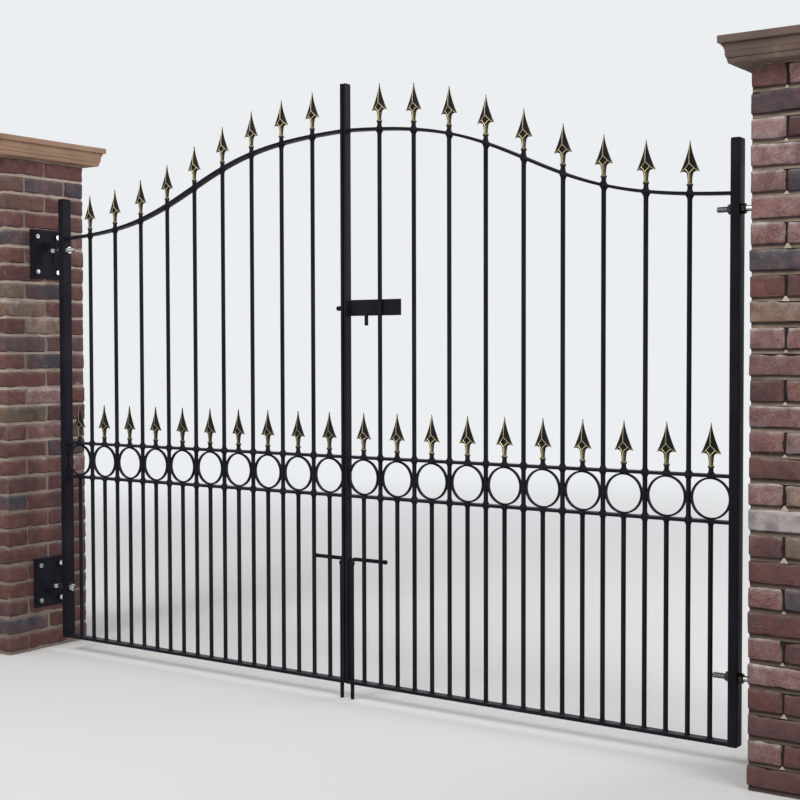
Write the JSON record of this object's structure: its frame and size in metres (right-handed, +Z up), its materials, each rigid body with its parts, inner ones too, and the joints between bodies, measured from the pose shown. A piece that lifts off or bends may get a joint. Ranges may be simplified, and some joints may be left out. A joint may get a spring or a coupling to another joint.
{
  "type": "double driveway gate",
  "caption": "Wrought iron double gate with a bowed top, a band of rings and spear finials, on adjustable hinges between two square brick piers with moulded caps.",
  "frame": {"origin": "middle of the left pier's foot, at ground level, on the gate's middle plane", "axes": "+X along the gate to the right pier, +Y to the house side, where the leaves open to, +Z up"},
  "size_m": [4.2995, 0.588, 2.273],
  "materials": {
    "black_paint": "satin",
    "cast_black": "black with worn gilding on the raised edges",
    "zinc": "bright zinc plate",
    "brick": "rough red-brown brick with mortar joints",
    "cap_stone": "cast concrete coping, warm brown"
  },
  "bodies": {
    "piers": {"left_pier": "brick", "right_pier": "brick", "left_pier_cap": "cap_stone", "right_pier_cap": "cap_stone", "left_hinge_plates": "black_paint", "right_hinge_plates": "black_paint"},
    "left_leaf": {"left_hinge_stile": "black_paint", "left_meeting_stile": "black_paint", "left_top_rail": "black_paint", "left_upper_ring_rail": "black_paint", "left_lower_ring_rail": "black_paint", "left_bottom_rail": "black_paint", "left_bars": "black_paint", "left_dog_bars": "black_paint", "left_rings": "black_paint", "left_stub_bars": "black_paint", "left_bar_finials": "cast_black", "left_stub_finials": "cast_black", "left_eye_bolts": "zinc", "left_drop_guide": "black_paint", "left_keeper": "black_paint"},
    "right_leaf": {"right_hinge_stile": "black_paint", "right_meeting_stile": "black_paint", "right_top_rail": "black_paint", "right_upper_ring_rail": "black_paint", "right_lower_ring_rail": "black_paint", "right_bottom_rail": "black_paint", "right_bars": "black_paint", "right_dog_bars": "black_paint", "right_rings": "black_paint", "right_stub_bars": "black_paint", "right_bar_finials": "cast_black", "right_stub_finials": "cast_black", "right_eye_bolts": "zinc", "right_drop_guide": "black_paint", "right_bolt_shield": "black_paint", "right_bolt_guides": "black_paint"},
    "left_drop_bolt": {"left_drop_bolt": "black_paint"},
    "right_drop_bolt": {"right_drop_bolt": "black_paint"},
    "slide_bolt": {"slide_bolt": "black_paint", "slide_handle": "black_paint"}
  },
  "joints": [
    {"name": "left_leaf_hinge", "type": "hinge", "parent": "piers", "child": "left_leaf", "pos_m": [0.271, 0, 0], "axis": [0, 0, 1], "range_deg": [0, 90]},
    {"name": "right_leaf_hinge", "type": "hinge", "parent": "piers", "child": "right_leaf", "pos_m": [3.4405, 0, 0], "axis": [0, 0, -1], "range_deg": [0, 90]},
    {"name": "left_drop_slide", "type": "slide", "parent": "left_leaf", "child": "left_drop_bolt", "axis": [0, 0, 1], "range_m": [0, 0.09]},
    {"name": "right_drop_slide", "type": "slide", "parent": "right_leaf", "child": "right_drop_bolt", "axis": [0, 0, 1], "range_m": [0, 0.09]},
    {"name": "slide_bolt_slide", "type": "slide", "parent": "right_leaf", "child": "slide_bolt", "axis": [-1, 0, 0], "range_m": [0, 0.05]}
  ]
}
